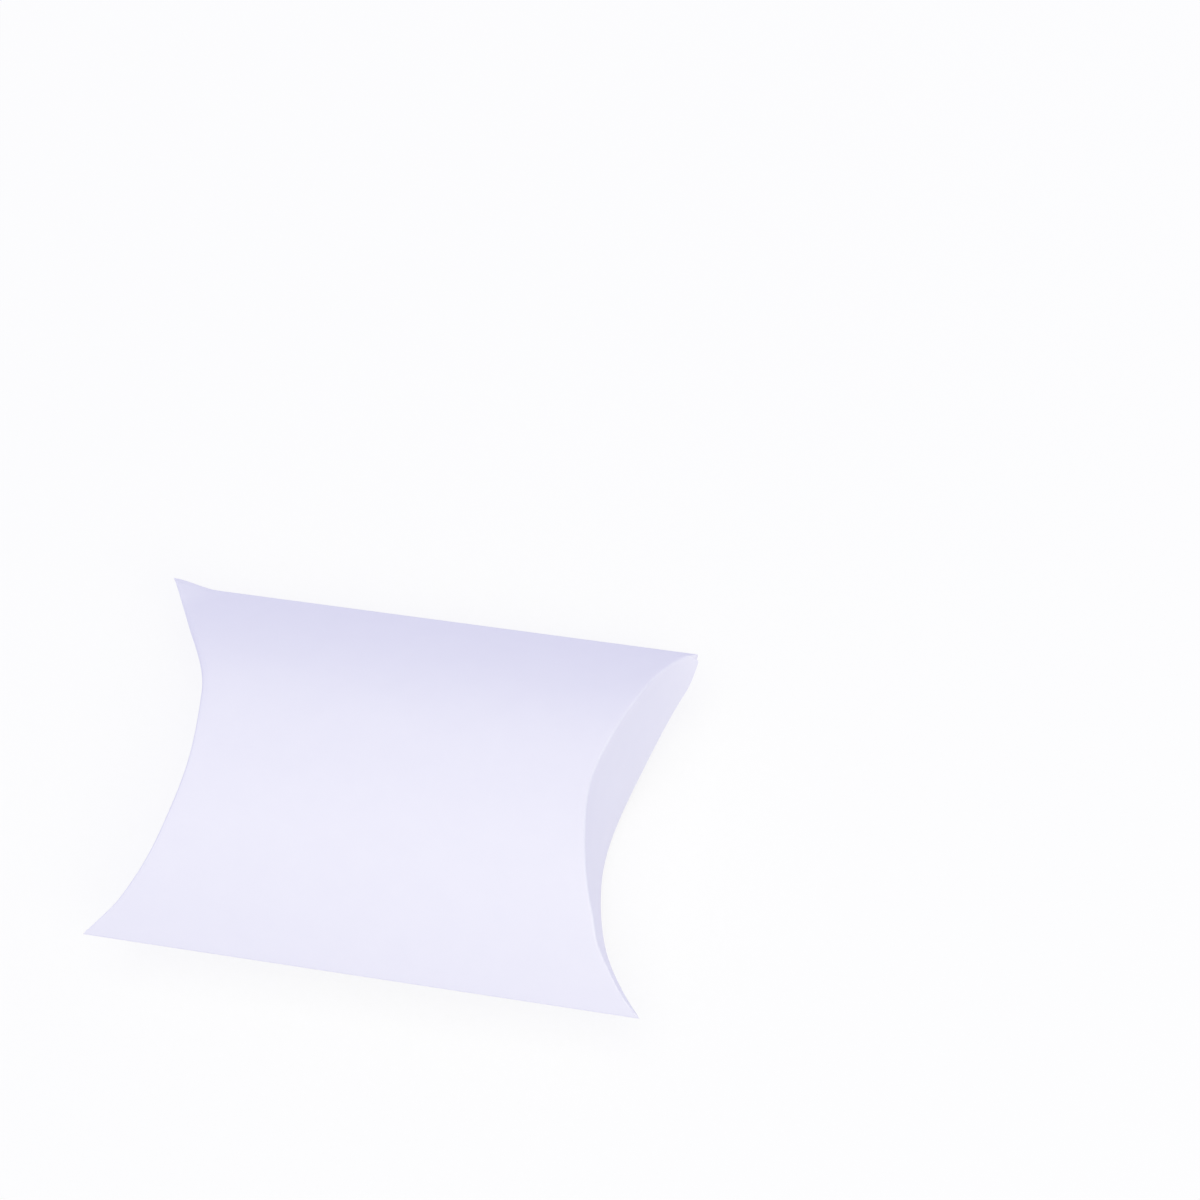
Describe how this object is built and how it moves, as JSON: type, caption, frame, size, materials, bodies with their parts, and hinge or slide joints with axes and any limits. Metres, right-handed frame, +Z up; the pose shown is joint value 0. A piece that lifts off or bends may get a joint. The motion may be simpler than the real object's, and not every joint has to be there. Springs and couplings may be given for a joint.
{
  "type": "pillow box",
  "caption": "White board pillow box: bowed panels joined along straight folds, with nested end flaps that hinge on curved scores and a thumb notch in each tucked-in flap.",
  "frame": {"origin": "under the middle of the box, where the crown of the belly touches the surface it lies on", "axes": "+X along the straight folds, +Y from the front fold to the rear fold, +Z up through the crown of the upper panel"},
  "size_m": [0.09, 0.062, 0.026],
  "materials": {
    "board": "smooth matte coated white board",
    "creased_board": "pressed score in matte white board",
    "inner_board": "uncoated inner face of white board",
    "glue": "dried clear-white dispersion glue"
  },
  "bodies": {
    "carton": {"upper_panel": "board", "lower_panel": "board", "rear_fold": "creased_board", "front_fold": "creased_board", "glue_tab": "inner_board", "glue_film": "glue"},
    "right_outer": {"right_outer_flap": "board", "right_outer_score": "creased_board"},
    "right_inner": {"right_inner_flap": "board", "right_inner_score": "creased_board"},
    "left_outer": {"left_outer_flap": "board", "left_outer_score": "creased_board"},
    "left_inner": {"left_inner_flap": "board", "left_inner_score": "creased_board"}
  },
  "joints": [
    {"name": "right_outer_hinge", "type": "hinge", "parent": "carton", "child": "right_outer", "pos_m": [0.032, 0, 0.026], "axis": [0, -1, 0], "range_deg": [0, 90]},
    {"name": "right_inner_hinge", "type": "hinge", "parent": "carton", "child": "right_inner", "pos_m": [0.031, 0, 0.0005], "axis": [0, -1, 0], "range_deg": [0, 10], "stiffness_Nm_per_rad": 0.0005},
    {"name": "left_outer_hinge", "type": "hinge", "parent": "carton", "child": "left_outer", "pos_m": [-0.032, 0, 0.026], "axis": [0, 1, 0], "range_deg": [0, 90]},
    {"name": "left_inner_hinge", "type": "hinge", "parent": "carton", "child": "left_inner", "pos_m": [-0.031, 0, 0.0005], "axis": [0, 1, 0], "range_deg": [0, 10], "stiffness_Nm_per_rad": 0.0005}
  ]
}
